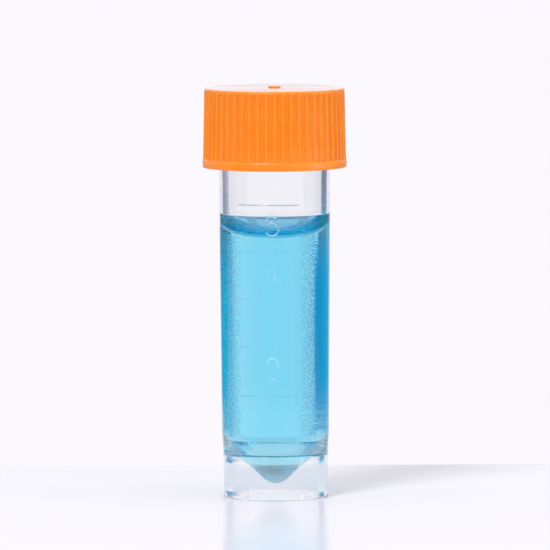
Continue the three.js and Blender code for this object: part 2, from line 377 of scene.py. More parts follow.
def draw_outline(name, outline):
    """Starts a piece as a single point and extrudes it along an outline in front of the axis."""
    bpy.ops.object.select_all(action="DESELECT")
    bpy.ops.mesh.primitive_plane_add(size=MM)
    piece = bpy.context.object
    piece.name = name
    bpy.ops.object.mode_set(mode="EDIT")
    bpy.ops.mesh.select_all(action="SELECT")
    bpy.ops.mesh.merge(type="CENTER")
    first = outline[0]
    bpy.ops.transform.translate(value=(0, -first.x, first.y))
    for start, end in zip(outline, outline[1:]):
        move = (0, start.x - end.x, end.y - start.y)
        bpy.ops.mesh.extrude_vertices_move(TRANSFORM_OT_translate={"value": move})
    return piece


def merge_and_face_outwards():
    bpy.ops.mesh.select_all(action="SELECT")
    bpy.ops.mesh.remove_doubles(threshold=WELD)
    bpy.ops.mesh.normals_make_consistent(inside=False)


def turned_piece(name, outline, steps):
    """A round piece, turned about the upright axis from its outline."""
    piece = draw_outline(name, outline)
    bpy.ops.mesh.select_all(action="SELECT")
    bpy.ops.mesh.spin(steps=steps, angle=math.tau, center=(0, 0, 0), axis=(0, 0, 1))
    merge_and_face_outwards()
    leave_edit()
    return piece


def angle_of(point):
    """The angle of a point about the axis, anticlockwise from the front."""
    return math.atan2(point.x, -point.y)


def select_where(wanted):
    """Selects the wanted points of the piece in edit mode, and no others."""
    mesh = bmesh.from_edit_mesh(bpy.context.object.data)
    mesh.verts.index_update()
    for vertex in mesh.verts:
        vertex.select = wanted(vertex)
    mesh.select_flush(True)
    bmesh.update_edit_mesh(bpy.context.object.data)


def resize_about_axis(factor):
    bpy.ops.transform.resize(value=(factor, factor, 1), center_override=(0, 0, 0))


def thread_ridge(name, start_angle, start_height, turns, root, crest):
    """A right-hand helical ridge that climbs from a start angle and dies away at both ends."""
    root_width = THREAD_CREST_WIDTH + 2 * FLANK_SLOPE * abs(crest - root)
    outline = outline_of([
        (root, start_height - root_width / 2),
        (crest, start_height - THREAD_CREST_WIDTH / 2, THREAD_ROUNDING),
        (crest, start_height + THREAD_CREST_WIDTH / 2, THREAD_ROUNDING),
        (root, start_height + root_width / 2),
    ], closed=True)
    ridge = draw_outline(name, outline)
    merge_and_face_outwards()
    leave_edit()
    sweep = math.tau * turns
    steps = round(THREAD_STEPS_PER_TURN * turns)
    screw = ridge.modifiers.new("screw", "SCREW")
    screw.axis = "Z"
    screw.angle = sweep
    screw.screw_offset = THREAD_LEAD * turns
    screw.steps = steps
    screw.render_steps = steps
    screw.use_merge_vertices = False
    bpy.ops.object.modifier_apply(modifier=screw.name)
    edit(ridge)
    bpy.ops.mesh.select_all(action="SELECT")
    bpy.ops.mesh.fill_holes(sides=0)
    fade_ends(start_height, turns, root, crest)
    merge_and_face_outwards()
    leave_edit()
    ridge.rotation_euler.z = start_angle
    bpy.ops.object.transform_apply(location=False, rotation=True, scale=False)
    return ridge


def fade_ends(start_height, turns, root, crest):
    """Lowers the crest ring by ring towards both ends of a ridge."""
    step_angle = math.tau / THREAD_STEPS_PER_TURN
    steps = round(THREAD_STEPS_PER_TURN * turns)
    fading = round(THREAD_FADE / step_angle)
    middle = (root + crest) / 2
    for ring in range(steps + 1):
        from_end = min(ring, steps - ring)
        if from_end >= fading:
            continue
        share = lerp(FADED_HEIGHT, 1, from_end / fading)
        turned = ring * step_angle
        level = start_height + THREAD_LEAD * turned / math.tau

        def on_crest(vertex):
            point = vertex.co
            away = math.remainder(angle_of(point) - turned, math.tau)
            outside = (point.xy.length - middle) * (crest - root) > 0
            near = abs(point.z - level) < THREAD_LEAD / 2
            return outside and near and abs(away) < step_angle / 2

        select_where(on_crest)
        resize_about_axis(lerp(root, crest, share) / crest)


def on_wall(height, angle, out=0):
    """A point of the tube's outer wall."""
    radius = wall_radius(height) + out
    return Vector((radius * math.sin(angle), -radius * math.cos(angle), height))


def line_heights():
    """Heights of the lines: each next one has a millilitre more of the bore below it."""
    heights = [FIRST_LINE_HEIGHT]
    while len(heights) < LINE_COUNT:
        below = heights[-1]
        rise = LINE_VOLUME / (math.pi * bore_radius(below) ** 2)
        rise = LINE_VOLUME / (math.pi * bore_radius(below + rise / 2) ** 2)
        heights.append(below + rise)
    return heights


def stroke(name, places):
    """A round bead laid along the wall through (angle, height) places."""
    curve = bpy.data.curves.new(name, "CURVE")
    curve.dimensions = "3D"
    curve.bevel_depth = STROKE_RADIUS
    curve.bevel_resolution = 2
    curve.use_fill_caps = True
    line = curve.splines.new("POLY")
    line.points.add(len(places) - 1)
    for point, (angle, height) in zip(line.points, places):
        point.co = (*on_wall(height, angle, -STROKE_SINK), 1)
    bead = bpy.data.objects.new(name, curve)
    bpy.context.collection.objects.link(bead)
    pick(bead)
    bpy.ops.object.convert(target="MESH")
    edit(bead)
    merge_and_face_outwards()
    leave_edit()
    return bead


def arc(centre, radii, start, end):
    """Points of an arc, its angles in degrees anticlockwise from the right."""
    points = []
    for step in range(NUMERAL_ARC_STEPS + 1):
        angle = math.radians(lerp(start, end, step / NUMERAL_ARC_STEPS))
        points.append((centre[0] + radii[0] * math.cos(angle), centre[1] + radii[1] * math.sin(angle)))
    return points


# strokes of each numeral, across and up as shares of its height, its middle at (0, 0.5)
NUMERALS = {
    2: [arc((0.0, 0.7), (0.3, 0.3), 165, -35) + [(-0.32, 0.0), (0.33, 0.0)]],
    4: [[(0.15, 0.0), (0.15, 1.0), (-0.34, 0.33)], [(-0.38, 0.3), (0.38, 0.3)]],
    5: [[(0.3, 1.0), (-0.26, 1.0), (-0.3, 0.57)], arc((0.0, 0.35), (0.34, 0.35), 140, -150)],
}


def numeral(value, height):
    """The beads of one numeral, hung below its line."""
    radius = wall_radius(height)
    foot = height - NUMERAL_DROP - NUMERAL_HEIGHT / 2
    beads = []
    for number, points in enumerate(NUMERALS[value]):
        places = []
        for across, up in points:
            angle = NUMERAL_ANGLE + across * NUMERAL_HEIGHT / radius
            places.append((angle, foot + up * NUMERAL_HEIGHT))
        beads.append(stroke(f"numeral_{value}_{number}", places))
    return beads


def graduation_line(number, height):
    steps = round(LINE_SWEEP / LINE_STEP)
    places = [(LINE_START + LINE_SWEEP * step / steps, height) for step in range(steps + 1)]
    return stroke(f"line_{number}", places)


def add_solids(piece, solids):
    """Fuses solids onto a piece and takes their objects away."""
    for solid in solids:
        pick(piece)
        union = piece.modifiers.new("union", "BOOLEAN")
        union.operation = "UNION"
        union.solver = "EXACT"
        union.object = solid
        bpy.ops.object.modifier_apply(modifier=union.name)
        bpy.data.objects.remove(solid)


def smooth(piece, degrees):
    pick(piece)
    bpy.ops.object.shade_smooth_by_angle(angle=math.radians(degrees))


def model_tube():
    tube = turned_piece("clear_tube", tube_outline(), TUBE_STEPS)
    solids = [thread_ridge(
        "tube_thread",
        0,
        TUBE_THREAD_START,
        TUBE_THREAD_TURNS,
        NECK_RADIUS - THREAD_ROOT_DEPTH,
        TUBE_CREST_RADIUS,
    )]
    for number, height in enumerate(line_heights(), start=1):
        solids.append(graduation_line(number, height))
        if number in NUMERALS:
            solids.extend(numeral(number, height))
    add_solids(tube, solids)
    smooth(tube, ROUND_EDGE)
    return tube


# depth of the grooves at the steps on either side of a rib's middle, as shares
RIB_SECTION = (0, 0.03, 0.36, 0.9, 1, 1, 1, 1, 1, 0.9, 0.36, 0.03)


def cut_grooves(cap):
    """Draws the points between the ribs in towards the axis, ring by ring."""
    steps = RIB_COUNT * STEPS_PER_RIB
    edit(cap)
    mesh = bmesh.from_edit_mesh(cap.data)
    mesh.verts.index_update()
    rings = {}
    for vertex in mesh.verts:
        if vertex.co.xy.length < CAP_BORE_RADIUS + MOUTH_CHAMFER:
            continue
        step = round(angle_of(vertex.co) / math.tau * steps) % STEPS_PER_RIB
        for height, share in groove_rings():
            if abs(vertex.co.z - height) < WELD:
                depth = RIB_DEPTH * share * RIB_SECTION[step]
                rings.setdefault((height, depth), set()).add(vertex.index)
    for (height, depth), chosen in rings.items():
        if depth > 0:
            select_where(lambda vertex: vertex.index in chosen)
            resize_about_axis(1 - depth / crest_radius(height))
    leave_edit()


def model_cap():
    cap = turned_piece("screw_cap", cap_outline(), RIB_COUNT * STEPS_PER_RIB)
    cut_grooves(cap)
    thread = thread_ridge(
        "cap_thread",
        CAP_THREAD_ANGLE,
        CAP_THREAD_START,
        CAP_THREAD_TURNS,
        CAP_BORE_RADIUS + THREAD_ROOT_DEPTH,
        CAP_CREST_RADIUS,
    )
    add_solids(cap, [thread])
    smooth(cap, RIBBED_EDGE)
    return cap


# ---- materials ----

# sockets of the node that mixes two colours
MIX_FIRST = 6
MIX_SECOND = 7
MIX_RESULT = 2

# how softly one zone of a material passes into the next
EDGE_BLEND = 0.1 * MM

# clear plastic
CLEAR_TINT = (0.985, 0.985, 0.99, 1)
WALL_ROUGHNESS = 0.03
WET_ROUGHNESS = 0.02
WAVE_LENGTH = 6 * MM
WAVE_STRETCH = 14
WAVE_SHARE = 0.1

# clear windows at the front and back, and the frosted panels between them
WINDOW_ANGLE = math.radians(-6.6)
WINDOW_HALF_WIDTH = 4.25 * MM
WINDOW_EDGE = 0.08 * MM
WINDOW_STEP = 0.3
FROST_HALF_WIDTH = 6.5 * MM
FROST_TOP = 38.2 * MM
EDGE_FROST = 0.15
GRAIN = 0.3 * MM
GRAIN_LOW = 0.42
GRAIN_HIGH = 0.58
# painted sparkle: the frosted panels' grains are tinted darker and bluish, standing in for the light
# and shade that the frost scatters
SPARKLE_SHADE_TINT = (0.76, 0.9, 0.96, 1)
GRAIN_BUMP = 0.09 * MM
FROST_ROUGHNESS = 0.3

# beads of the lines and numerals
# painted shade: the beads of the lines and numerals are tinted darker, less above the liquid
BEAD_SHADE = 0.6
BEAD_ROUGHNESS = 0.3
DRY_BEAD_SHARE = 0.3
NUMERAL_TINT = (0.93, 0.97, 1, 1)
NUMERAL_HAZE = 0.13

# the cone, milky at its tip; its pale blue there is painted light, standing in for light through the
# blue liquid
CONE_ROUGHNESS = 0.2
CONE_PAINTED_BLUE = (0.62, 0.93, 1, 1)
CONE_HAZE = 0.45
CONE_HAZE_ABOVE = 0.04
MILKY_TOP = 1.8 * MM
CLEAR_FROM = 3.4 * MM
CONE_BLEND = 1.2 * MM

# liquid
DYE_COLOUR = (0, 0.823, 0.968, 1)
DYE_DENSITY = 106
# painted shade: where the liquid climbs the wall in front, its surface is tinted darker
SHADED_BAND_DEPTH = 2.4 * MM
BAND_PAINTED_SHADE = (0.32, 0.62, 0.82, 1)
SHADED_BAND_BACK = -4 * MM
SHADED_BAND_FRONT = -5 * MM

# orange plastic
ORANGE_DEEP = (0.97, 0.25, 0.004, 1)
ORANGE_LIGHT = (1, 0.29, 0.012, 1)
ORANGE_CLOUD = 2.5 * MM
ORANGE_GRAIN = 0.08 * MM
ORANGE_BUMP = 0.004 * MM
SATIN_LOW = 0.3
SATIN_HIGH = 0.38
POLISH = 0.22

# silicone
SILICONE_DEEP = (0.72, 0.73, 0.71, 1)
SILICONE_LIGHT = (0.82, 0.82, 0.8, 1)
SILICONE_CLOUD = 1.5 * MM
SILICONE_GRAIN = 0.1 * MM
SILICONE_BUMP = 0.008 * MM

# the middle part of a noise, over which it is spread
NOISE_LOW = 0.3
NOISE_HIGH = 0.7


class Shader:
    """The nodes of one material or world, with short ways to add to them."""

    def __init__(self, tree):
        self.nodes = tree.nodes
        self.links = tree.links

    def fill(self, socket, value):
        """Fills a socket with a constant or with another node's output."""
        if isinstance(value, bpy.types.NodeSocket):
            self.links.new(value, socket)
        else:
            socket.default_value = value

    def surface(self, settings):
        """Fills sockets of the material's main shader, by name."""
        for name, value in settings.items():
            self.fill(self.nodes["Principled BSDF"].inputs[name], value)

    def output(self, name):
        """An output of the light path: 1 for rays of the kind named."""
        return self.nodes.new("ShaderNodeLightPath").outputs[name]

    def place(self):
        """Where each point is on its piece."""
        return self.nodes.new("ShaderNodeTexCoord").outputs["Object"]

    def split(self, place):
        """The x, y and z of a place."""
        node = self.nodes.new("ShaderNodeSeparateXYZ")
        self.links.new(place, node.inputs["Vector"])
        return node.outputs

    def math(self, operation, *inputs):
        node = self.nodes.new("ShaderNodeMath")
        node.operation = operation
        for socket, value in zip(node.inputs, inputs):
            self.fill(socket, value)
        return node.outputs[0]

    def product(self, first, *others):
        for other in others:
            first = self.math("MULTIPLY", first, other)
        return first

    def radius(self, x, y):
        """How far a place is from the upright axis."""
        square = self.math("MULTIPLY", x, x)
        return self.math("SQRT", self.math("MULTIPLY_ADD", y, y, square))

    def ramp(self, value, start, end, low=0.0, high=1.0):
        """Low before start, high after end, and a soft change between them."""
        node = self.nodes.new("ShaderNodeMapRange")
        node.interpolation_type = "SMOOTHSTEP"
        node.inputs["From Min"].default_value = start
        node.inputs["From Max"].default_value = end
        node.inputs["To Min"].default_value = low
        node.inputs["To Max"].default_value = high
        self.links.new(value, node.inputs["Value"])
        return node.outputs["Result"]

    def noise(self, place, grain, detail):
        """A noise whose grains are about the given size across."""
        node = self.nodes.new("ShaderNodeTexNoise")
        node.inputs["Scale"].default_value = 1 / grain
        node.inputs["Detail"].default_value = detail
        self.links.new(place, node.inputs["Vector"])
        return node.outputs["Fac"]

    def bump(self, height, depth):
        node = self.nodes.new("ShaderNodeBump")
        node.inputs["Distance"].default_value = depth
        node.inputs["Strength"].default_value = 1
        self.links.new(height, node.inputs["Height"])
        return node.outputs["Normal"]

    def mix(self, share, first, second):
        """A colour between two others."""
        node = self.nodes.new("ShaderNodeMix")
        node.data_type = "RGBA"
        self.fill(node.inputs["Factor"], share)
        self.fill(node.inputs[MIX_FIRST], first)
        self.fill(node.inputs[MIX_SECOND], second)
        return node.outputs[MIX_RESULT]

    def mix_shaders(self, share, first, second):
        node = self.nodes.new("ShaderNodeMixShader")
        self.links.new(share, node.inputs["Fac"])
        self.links.new(first, node.inputs[1])
        self.links.new(second, node.inputs[2])
        return node.outputs["Shader"]

    def glow(self, colour):
        node = self.nodes.new("ShaderNodeEmission")
        self.fill(node.inputs["Color"], colour)
        return node.outputs["Emission"]

    def colour_band(self, share, stops):
        """A band of colours round the surround, from (degrees from straight behind, colour) stops."""
        node = self.nodes.new("ShaderNodeValToRGB")
        self.links.new(share, node.inputs["Fac"])
        bands = node.color_ramp.elements
        while len(bands) < len(stops):
            bands.new(0.5)
        for band, (degrees, colour) in zip(bands, stops):
            band.position = 0.5 + math.radians(degrees) / (2 * SURROUND_REACH)
            band.color = colour
        return node.outputs["Color"]


def new_material(name):
    material = bpy.data.materials.new(name)
    material.use_nodes = True
    return material, Shader(material.node_tree)


def above_skirt(shader, z):
    return shader.ramp(z, SKIRT_HEIGHT - 2 * EDGE_BLEND, SKIRT_HEIGHT - EDGE_BLEND)


def frosted_panels(shader, sideways, radius, z):
    """1 on the outside of the two frosted panels, less towards their far edges."""
    panel = shader.ramp(
        sideways, WINDOW_HALF_WIDTH - 3 * EDGE_BLEND, WINDOW_HALF_WIDTH + 3 * EDGE_BLEND)
    towards_edge = shader.ramp(
        sideways, FROST_HALF_WIDTH - 4 * EDGE_BLEND, FROST_HALF_WIDTH, 1, EDGE_FROST)
    below = shader.ramp(z, FROST_TOP - EDGE_BLEND, FROST_TOP + EDGE_BLEND, 1, 0)
    outer = shader.ramp(
        radius, RIM_BORE_RADIUS + 2 * EDGE_BLEND, RIM_BORE_RADIUS + 4 * EDGE_BLEND)
    return shader.product(panel, towards_edge, below, above_skirt(shader, z), outer)


def raised_beads(shader, radius, z):
    """1 on the beads that stand proud of the wall, less above the liquid: the mask of their painted
    shade.
    """
    wall_slope = (SHOULDER_RADIUS - FOOT_RADIUS) / (SHOULDER_HEIGHT - SKIRT_HEIGHT)
    wall = shader.math("MULTIPLY_ADD", z, wall_slope, wall_radius(0) + PROUD)
    proud = shader.math("GREATER_THAN", radius, wall)
    below_neck = shader.ramp(
        z, SHOULDER_HEIGHT - 2 * EDGE_BLEND, SHOULDER_HEIGHT - EDGE_BLEND, 1, 0)
    wet = shader.ramp(z, LIQUID_TOP, LIQUID_TOP + 3 * EDGE_BLEND, 1, DRY_BEAD_SHARE)
    return shader.product(proud, above_skirt(shader, z), below_neck, wet)


def cone_inside_skirt(shader, radius, z):
    """1 on the outside of the cone."""
    inner = shader.ramp(
        radius, SKIRT_BORE_RADIUS - 2 * EDGE_BLEND, SKIRT_BORE_RADIUS - EDGE_BLEND, 1, 0)
    return shader.product(inner, shader.ramp(z, SKIRT_HEIGHT - CONE_BLEND, SKIRT_HEIGHT, 1, 0))


def moulded_surface(shader, place, sideways, z, grain, frost):
    """Bumps: the grain of the panels, faint long waves, and a step at the windows' edges above."""
    stretched = shader.nodes.new("ShaderNodeMapping")
    stretched.inputs["Scale"].default_value = (1, 1, WAVE_STRETCH)
    shader.links.new(place, stretched.inputs["Vector"])
    waves = shader.noise(stretched.outputs["Vector"], WAVE_LENGTH, 3)
    height = shader.math("MULTIPLY", grain, frost)
    height = shader.math("MULTIPLY_ADD", waves, WAVE_SHARE, height)
    step = shader.ramp(
        sideways, WINDOW_HALF_WIDTH - WINDOW_EDGE, WINDOW_HALF_WIDTH + WINDOW_EDGE, 0, WINDOW_STEP)
    above_frost = shader.ramp(z, FROST_TOP - EDGE_BLEND, FROST_TOP + EDGE_BLEND)
    height = shader.math("MULTIPLY_ADD", step, above_frost, height)
    return shader.bump(height, GRAIN_BUMP)


def clear_plastic():
    """Clear moulded polypropylene: frosted at its two sides with a painted sparkle on its grains,
    given a painted shade on its raised beads, and milky at the tip of its cone, with painted blue light
    there."""
    material, shader = new_material("clear_plastic_moulded")
    place = shader.place()
    x, y, z = shader.split(place)
    radius = shader.radius(x, y)
    along = shader.math("MULTIPLY", x, math.cos(WINDOW_ANGLE))
    across = shader.math("MULTIPLY_ADD", y, math.sin(WINDOW_ANGLE), along)
    sideways = shader.math("ABSOLUTE", across)
    frost = frosted_panels(shader, sideways, radius, z)
    grain = shader.noise(place, GRAIN, 1)
    # painted sparkle on the frost's grains
    painted_sparkle = shader.product(shader.ramp(grain, GRAIN_LOW, GRAIN_HIGH), frost)
    proud = raised_beads(shader, radius, z)
    # painted shade: one darker tint serves both the sparkle and the raised beads
    shade = shader.math("MAXIMUM", painted_sparkle, shader.math("MULTIPLY", proud, BEAD_SHADE))
    cone = cone_inside_skirt(shader, radius, z)
    tip = shader.ramp(
        z, CONE_TIP_HEIGHT + MILKY_TOP, CONE_TIP_HEIGHT + CLEAR_FROM, 1, CONE_HAZE_ABOVE)
    milky = shader.math("MULTIPLY", cone, tip)
    roughness = shader.math("MULTIPLY_ADD", shade, FROST_ROUGHNESS, WALL_ROUGHNESS)
    roughness = shader.math("MULTIPLY_ADD", cone, CONE_ROUGHNESS, roughness)
    roughness = shader.math("MULTIPLY_ADD", proud, BEAD_ROUGHNESS, roughness)
    shader.surface({
        "Base Color": shader.mix(milky, shader.mix(shade, CLEAR_TINT, SPARKLE_SHADE_TINT), CONE_PAINTED_BLUE),
        "Roughness": roughness,
        "Normal": moulded_surface(shader, place, sideways, z, grain, frost),
        "Transmission Weight": shader.math("MULTIPLY_ADD", milky, -CONE_HAZE, 1),
        "IOR": PLASTIC_IOR,
    })
    return material


def wetted_plastic():
    """The same plastic where the liquid touches it: light bends only as much as between the two."""
    material, shader = new_material("clear_plastic_wetted")
    shader.surface({
        "Base Color": CLEAR_TINT,
        "Roughness": WET_ROUGHNESS,
        "Transmission Weight": 1,
        "IOR": PLASTIC_IOR / WATER_IOR,
    })
    return material


def numeral_plastic():
    """The raised numerals, a little milky."""
    material, shader = new_material("clear_plastic_numerals")
    shader.surface({
        "Base Color": NUMERAL_TINT,
        "Roughness": BEAD_ROUGHNESS,
        "Transmission Weight": 1 - NUMERAL_HAZE,
        "IOR": PLASTIC_IOR,
    })
    return material


def blue_water():
    """A clear blue solution, coloured by its depth. Against the wall its surface bends nothing, and
    where it climbs the wall in front it is tinted darker: a painted shade."""
    material, shader = new_material("blue_water")
    x, y, z = shader.split(shader.place())
    wall_slope = (RIM_BORE_RADIUS - FOOT_BORE_RADIUS) / (TUBE_HEIGHT - SKIRT_HEIGHT)
    wall = shader.math("MULTIPLY_ADD", z, wall_slope, bore_radius(0) + WALL_OVERLAP / 2)
    off_wall = shader.math("LESS_THAN", shader.radius(x, y), wall)
    at_top = shader.math("GREATER_THAN", z, LIQUID_TOP - MENISCUS_RISE - WALL_OVERLAP)
    meniscus = shader.math("MULTIPLY", off_wall, at_top)
    front = shader.ramp(y, SHADED_BAND_FRONT, SHADED_BAND_BACK, 1, 0)
    shaded_band = shader.ramp(z, LIQUID_TOP - SHADED_BAND_DEPTH, LIQUID_TOP - SHADED_BAND_DEPTH / 2)
    shader.surface({
        "Base Color": shader.mix(shader.product(shaded_band, front, meniscus), (1, 1, 1, 1), BAND_PAINTED_SHADE),
        "Roughness": 0,
        "Transmission Weight": 1,
        "IOR": shader.math("MULTIPLY_ADD", meniscus, WATER_IOR - 1, 1),
    })
    dye = shader.nodes.new("ShaderNodeVolumeAbsorption")
    dye.inputs["Color"].default_value = DYE_COLOUR
    dye.inputs["Density"].default_value = DYE_DENSITY
    shader.links.new(dye.outputs["Volume"], shader.nodes["Material Output"].inputs["Volume"])
    return material


def orange_plastic():
    """Opaque orange polypropylene: a satin moulded skin, and a polished top."""
    material, shader = new_material("orange_plastic_moulded")
    place = shader.place()
    z = shader.split(place)["Z"]
    cloud = shader.noise(place, ORANGE_CLOUD, 3)
    polished = shader.ramp(z, CAP_TOP - EDGE_BLEND / 2, CAP_TOP - EDGE_BLEND / 5)
    satin = shader.ramp(cloud, NOISE_LOW, NOISE_HIGH, SATIN_LOW, SATIN_HIGH)
    shader.surface({
        "Base Color": shader.mix(cloud, ORANGE_DEEP, ORANGE_LIGHT),
        "Roughness": shader.math("MULTIPLY_ADD", polished, -POLISH, satin),
        "Normal": shader.bump(shader.noise(place, ORANGE_GRAIN, 3), ORANGE_BUMP),
        "Coat Weight": polished,
        "Coat Roughness": 0.08,
        "Coat IOR": 1.6,
        "Subsurface Weight": 0.6,
        "Subsurface Radius": (1, 0.5, 0.15),
        "Subsurface Scale": 1.2 * MM,
        "IOR": PLASTIC_IOR,
    })
    return material


def washer_silicone():
    """Soft matt silicone rubber."""
    material, shader = new_material("silicone_rubber")
    place = shader.place()
    cloud = shader.noise(place, SILICONE_CLOUD, 4)
    shader.surface({
        "Base Color": shader.mix(cloud, SILICONE_DEEP, SILICONE_LIGHT),
        "Roughness": shader.ramp(cloud, NOISE_LOW, NOISE_HIGH, 0.5, 0.65),
        "Normal": shader.bump(shader.noise(place, SILICONE_GRAIN, 2), SILICONE_BUMP),
        "Subsurface Weight": 0.15,
        "Subsurface Scale": 0.5 * MM,
    })
    return material


def in_wet_bore(face):
    """True for the faces of the tube that the liquid touches."""
    radius = face.center.xy.length
    cone_middle = cone_height(radius, CONE_TIP_HEIGHT + up_cone(CONE_WALL) / 2)
    inside = radius < RIM_BORE_RADIUS + WALL_OVERLAP
    return inside and cone_middle < face.center.z < LIQUID_TOP and face.normal.z > -0.1


def on_numeral(face):
    """True for the raised faces of the tube that are not part of a line."""
    height = face.center.z
    raised = face.center.xy.length > wall_radius(height) + PROUD
    on_body = SKIRT_HEIGHT < height < SHOULDER_HEIGHT
    off_line = all(abs(height - line) > STROKE_RADIUS for line in line_heights())
    return on_body and raised and off_line


def sort_faces(tube):
    """Gives the faces the liquid touches the tube's second material, and the numerals its third."""
    for face in tube.data.polygons:
        if in_wet_bore(face):
            face.material_index = 1
        elif on_numeral(face):
            face.material_index = 2


def finish_piece(piece, materials, node, body):
    piece.data.materials.clear()
    for material in materials:
        piece.data.materials.append(material)
    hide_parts(node)
    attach(piece, body)


# ---- camera and lamps ----

CAMERA_DISTANCE = 1.35
CAMERA_ELEVATION = math.radians(4.6)
CAMERA_ROLL = math.radians(-0.2)
AIM_HEIGHT = 32.08 * MM
LENS = 611
LAMP_DISTANCE = 3.0


def direction(azimuth, elevation):
    """The way from the vial to a camera or lamp; azimuth is from the front, towards the right."""
    flat = math.cos(elevation)
    return Vector((math.sin(azimuth) * flat, -math.cos(azimuth) * flat, math.sin(elevation)))


def aimed(name, data, away, distance):
    """A camera or lamp at a distance from the vial's middle, turned towards it."""
    thing = bpy.data.objects.new(name, data)
    bpy.context.collection.objects.link(thing)
    thing.location = Vector((0, 0, AIM_HEIGHT)) + away * distance
    thing.rotation_mode = "QUATERNION"
    thing.rotation_quaternion = (-away).to_track_quat("-Z", "Y")
    return thing


def place_camera():
    data = bpy.data.cameras.new("camera")
    data.sensor_width = 36
    data.lens = LENS
    data.clip_start = 0.01
    data.clip_end = 10
    camera = aimed("camera", data, direction(0, CAMERA_ELEVATION), CAMERA_DISTANCE)
    camera.rotation_quaternion = camera.rotation_quaternion @ Quaternion((0, 0, 1), CAMERA_ROLL)
    bpy.context.scene.camera = camera


def area_lamp(name, azimuth, elevation, size, power):
    data = bpy.data.lights.new(name, "AREA")
    data.size = size
    data.energy = power
    away = direction(math.radians(azimuth), math.radians(elevation))
    aimed(name, data, away, LAMP_DISTANCE).visible_camera = False


# ---- table, world and surroundings ----

PAPER_WHITE = (0.965, 0.939, 0.991, 1)
SOFT_LIGHT = (0.97, 0.97, 1, 1)
SOFT_STRENGTH = 0.62
WORLD_FLOOR = -0.45
# painted shade: seen through glass, the world below is bluish grey
BELOW_PAINTED_SHADE = (0.33, 0.47, 0.6, 1)

TABLE_BACK = 44 * MM
TABLE_FRONT = -1500 * MM
TABLE_HALF_WIDTH = 1500 * MM
TABLE_COLOUR = (0.925, 0.91, 0.975, 1)
TABLE_CLOUD = 60 * MM
# painted light: seen through glass the table glows, as if lit through the vial under it, and greyer
# behind it as painted shade
TABLE_PAINTED_GLOW = 0.9
PAINTED_LIGHT_UNDER = (0.86, 0.9, 0.97, 1)
TABLE_PAINTED_SHADE = (0.72, 0.78, 0.88, 1)
SHADE_START = 5 * MM
SHADE_END = 12 * MM

# sheets seen only in glass and gloss
SHEET_FACETS = 120
SURROUND_RADIUS = 250 * MM
SURROUND_FOOT = -80 * MM
SURROUND_TOP = 200 * MM
SURROUND_REACH = math.radians(110)
LIQUID_SEEN_TO = 18.3 * MM
NECK_SEEN_FROM = 20.3 * MM
BODY_SEEN_FROM = -10.5 * MM
FOOT_SEEN_TO = -13 * MM
TOP_SEEN_FROM = 60 * MM
TOP_BLEND = 10 * MM
# painted shade: seen through the walls, these colours make the liquid's edges deep blue and the neck's
# edges dark
DEEP_LEFT = (0.0, 0.29, 0.56, 1)
DEEP_RIGHT = (0.0, 0.6, 0.84, 1)
PALE_BLUE = (0.5, 0.62, 0.75, 1)
GREY_LEFT = (0.19, 0.23, 0.32, 1)
LILAC_LEFT = (0.45, 0.43, 0.5, 1)
GREY_RIGHT = (0.15, 0.2, 0.3, 1)
BESIDE_LIQUID = ((-26, DEEP_LEFT), (-9, PAPER_WHITE), (21, PAPER_WHITE), (31, DEEP_RIGHT))
BESIDE_ENDS = ((-40, PALE_BLUE), (-20, PAPER_WHITE), (20, PAPER_WHITE), (40, PALE_BLUE))
BESIDE_NECK = (
    (-44, LILAC_LEFT),
    (-41, GREY_LEFT),
    (-28, GREY_LEFT),
    (-26, PAPER_WHITE),
    (27, PAPER_WHITE),
    (29, GREY_RIGHT),
)

# painted dark reflection: a sheet in front that is seen only in gloss
FLAG_RADIUS = 120 * MM
FLAG_HEIGHT = 150 * MM
FLAG_GAP = 1 * MM
FLAG_REACH = math.radians(70)
FLAG_REFLECTION_GREY = (0.04, 0.04, 0.04, 1)

# light crosses many walls and bounces inside them before it leaves the vial
GLASS_BOUNCES = 40


def light_world():
    """Soft light all round; white where it is seen directly, in gloss or through glass, and a
    painted bluish grey shade where it is seen from below through glass."""
    world = bpy.data.worlds.new("studio")
    bpy.context.scene.world = world
    world.use_nodes = True
    shader = Shader(world.node_tree)
    soft = shader.nodes["Background"]
    soft.inputs["Color"].default_value = SOFT_LIGHT
    soft.inputs["Strength"].default_value = SOFT_STRENGTH
    rise = shader.split(shader.nodes.new("ShaderNodeTexCoord").outputs["Generated"])["Z"]
    below = shader.ramp(rise, WORLD_FLOOR - 0.05, WORLD_FLOOR, 1, 0)
    below = shader.product(below, shader.output("Is Transmission Ray"))
    paper = shader.nodes.new("ShaderNodeBackground")
    shader.fill(paper.inputs["Color"], shader.mix(below, PAPER_WHITE, BELOW_PAINTED_SHADE))
    paper.inputs["Strength"].default_value = 1
    seen = shader.output("Is Camera Ray")
    for kind in ("Is Glossy Ray", "Is Transmission Ray"):
        seen = shader.math("MAXIMUM", seen, shader.output(kind))
    mixed = shader.mix_shaders(seen, soft.outputs["Background"], paper.outputs["Background"])
    shader.links.new(mixed, shader.nodes["World Output"].inputs["Surface"])


